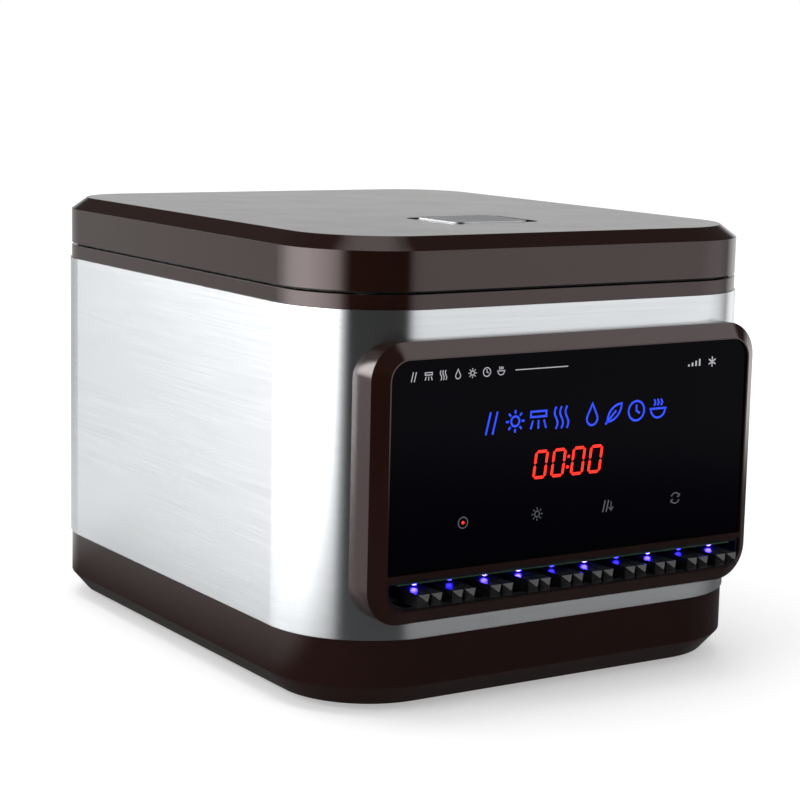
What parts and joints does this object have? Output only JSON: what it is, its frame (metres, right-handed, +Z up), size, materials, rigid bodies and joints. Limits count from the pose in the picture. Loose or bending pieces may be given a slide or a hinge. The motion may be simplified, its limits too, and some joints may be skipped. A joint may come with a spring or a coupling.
{
  "type": "chopstick steriliser",
  "caption": "Counter-top chopstick steriliser box with a hinged brown lid, brushed steel sides, a black glass control panel and a row of outlet lanes presenting chopstick pairs",
  "frame": {"origin": "middle of the footprint of the whole object, on the surface under the feet", "axes": "+Z up, -Y is the front with the control panel, +X to the right seen from the front"},
  "size_m": [0.3016, 0.3964, 0.2563],
  "materials": {
    "brown_plastic": "glossy injection-moulded dark brown ABS",
    "rubber": "moulded black rubber",
    "brushed_steel": "horizontally brushed stainless sheet",
    "inner_steel": "satin stainless sheet",
    "zinc_sheet": "folded zinc-plated sheet",
    "pin_steel": "ground steel pin",
    "grip_chrome": "satin silver grip plate",
    "liner_steel": "pressed stainless liner",
    "silicone": "moulded silicone seal",
    "reflector_aluminium": "bright rolled aluminium",
    "lamp_glass": "clear quartz lamp tube",
    "white_plastic": "moulded white acetal",
    "black_glass": "back-printed black control glass",
    "board": "green circuit board",
    "red_display": "red digit module",
    "blue_display": "blue light module",
    "black_plastic": "glossy black moulding",
    "blue_lamp": "blue light-emitting lamp",
    "chopstick": "moulded black chopstick resin",
    "motor_steel": "drawn motor can",
    "brass": "turned brass"
  },
  "bodies": {
    "housing": {"base_tray": "brown_plastic", "top_rim": "brown_plastic", "front_bezel": "brown_plastic", "base_floor": "brown_plastic", "feet": "rubber", "steel_wrap": "brushed_steel", "hopper": "inner_steel", "feed_frame": "zinc_sheet", "motor_bracket": "zinc_sheet", "hinge_pin_left": "pin_steel", "hinge_pin_right": "pin_steel", "glass_panel": "black_glass", "display_board": "board", "clock_module": "red_display", "message_module": "blue_display", "outlet_trough": "black_plastic", "led_strip": "board", "outlet_lamps": "blue_lamp", "lane_plate": "black_plastic", "rack_guide": "white_plastic", "gear_motor": "motor_steel", "fan_frame": "black_plastic", "heater_duct": "zinc_sheet", "heater_core": "reflector_aluminium", "power_board": "board", "board_standoffs": "brass", "transformer": "black_plastic", "mains_inlet": "black_plastic", "inlet_pins": "brass"},
    "lid": {"lid_shell": "brown_plastic", "lid_liner": "liner_steel", "lid_seal": "silicone", "lamp_reflector": "reflector_aluminium", "uv_tube": "lamp_glass", "lamp_sockets": "white_plastic", "grip_pin": "pin_steel"},
    "grip": {"lid_grip": "grip_chrome"},
    "pusher": {"pusher_comb": "white_plastic", "drive_rack": "white_plastic"},
    "pinion": {"drive_pinion": "white_plastic"},
    "rotor": {"fan_rotor": "black_plastic"},
    "pair_1": {"chopstick_pair_1": "chopstick"},
    "pair_2": {"chopstick_pair_2": "chopstick"},
    "pair_3": {"chopstick_pair_3": "chopstick"},
    "pair_4": {"chopstick_pair_4": "chopstick"},
    "pair_5": {"chopstick_pair_5": "chopstick"},
    "pair_6": {"chopstick_pair_6": "chopstick"},
    "pair_7": {"chopstick_pair_7": "chopstick"},
    "pair_8": {"chopstick_pair_8": "chopstick"},
    "pair_9": {"chopstick_pair_9": "chopstick"},
    "pair_10": {"chopstick_pair_10": "chopstick"}
  },
  "joints": [
    {"name": "lid_hinge", "type": "hinge", "parent": "housing", "child": "lid", "pos_m": [0, 0.19325, 0.22685], "axis": [-1, 0, 0], "range_deg": [0, 80]},
    {"name": "grip_hinge", "type": "hinge", "parent": "lid", "child": "grip", "pos_m": [0, -0.05685, 0.2537], "axis": [-1, 0, 0], "range_deg": [0, 75]},
    {"name": "pinion_spin", "type": "hinge", "parent": "housing", "child": "pinion", "pos_m": [0, 0.12375, 0.09162], "axis": [-1, 0, 0], "range_deg": [0, 246.3]},
    {"name": "pusher_slide", "type": "slide", "parent": "housing", "child": "pusher", "axis": [0, -1, 0], "range_m": [0, 0.058]},
    {"name": "fan_spin", "type": "hinge", "parent": "housing", "child": "rotor", "pos_m": [-0.056, 0.18175, 0.158], "axis": [0, 1, 0], "continuous": true},
    {"name": "pair_1_slide", "type": "slide", "parent": "housing", "child": "pair_1", "axis": [0, -1, 0], "range_m": [0, 0.236]},
    {"name": "pair_2_slide", "type": "slide", "parent": "housing", "child": "pair_2", "axis": [0, -1, 0], "range_m": [0, 0.236]},
    {"name": "pair_3_slide", "type": "slide", "parent": "housing", "child": "pair_3", "axis": [0, -1, 0], "range_m": [0, 0.236]},
    {"name": "pair_4_slide", "type": "slide", "parent": "housing", "child": "pair_4", "axis": [0, -1, 0], "range_m": [0, 0.236]},
    {"name": "pair_5_slide", "type": "slide", "parent": "housing", "child": "pair_5", "axis": [0, -1, 0], "range_m": [0, 0.236]},
    {"name": "pair_6_slide", "type": "slide", "parent": "housing", "child": "pair_6", "axis": [0, -1, 0], "range_m": [0, 0.236]},
    {"name": "pair_7_slide", "type": "slide", "parent": "housing", "child": "pair_7", "axis": [0, -1, 0], "range_m": [0, 0.236]},
    {"name": "pair_8_slide", "type": "slide", "parent": "housing", "child": "pair_8", "axis": [0, -1, 0], "range_m": [0, 0.236]},
    {"name": "pair_9_slide", "type": "slide", "parent": "housing", "child": "pair_9", "axis": [0, -1, 0], "range_m": [0, 0.236]},
    {"name": "pair_10_slide", "type": "slide", "parent": "housing", "child": "pair_10", "axis": [0, -1, 0], "range_m": [0, 0.236]}
  ],
  "couplings": [
    {"joint": "pinion_spin", "follows": "pusher_slide", "rad_per_m": 74.074}
  ]
}
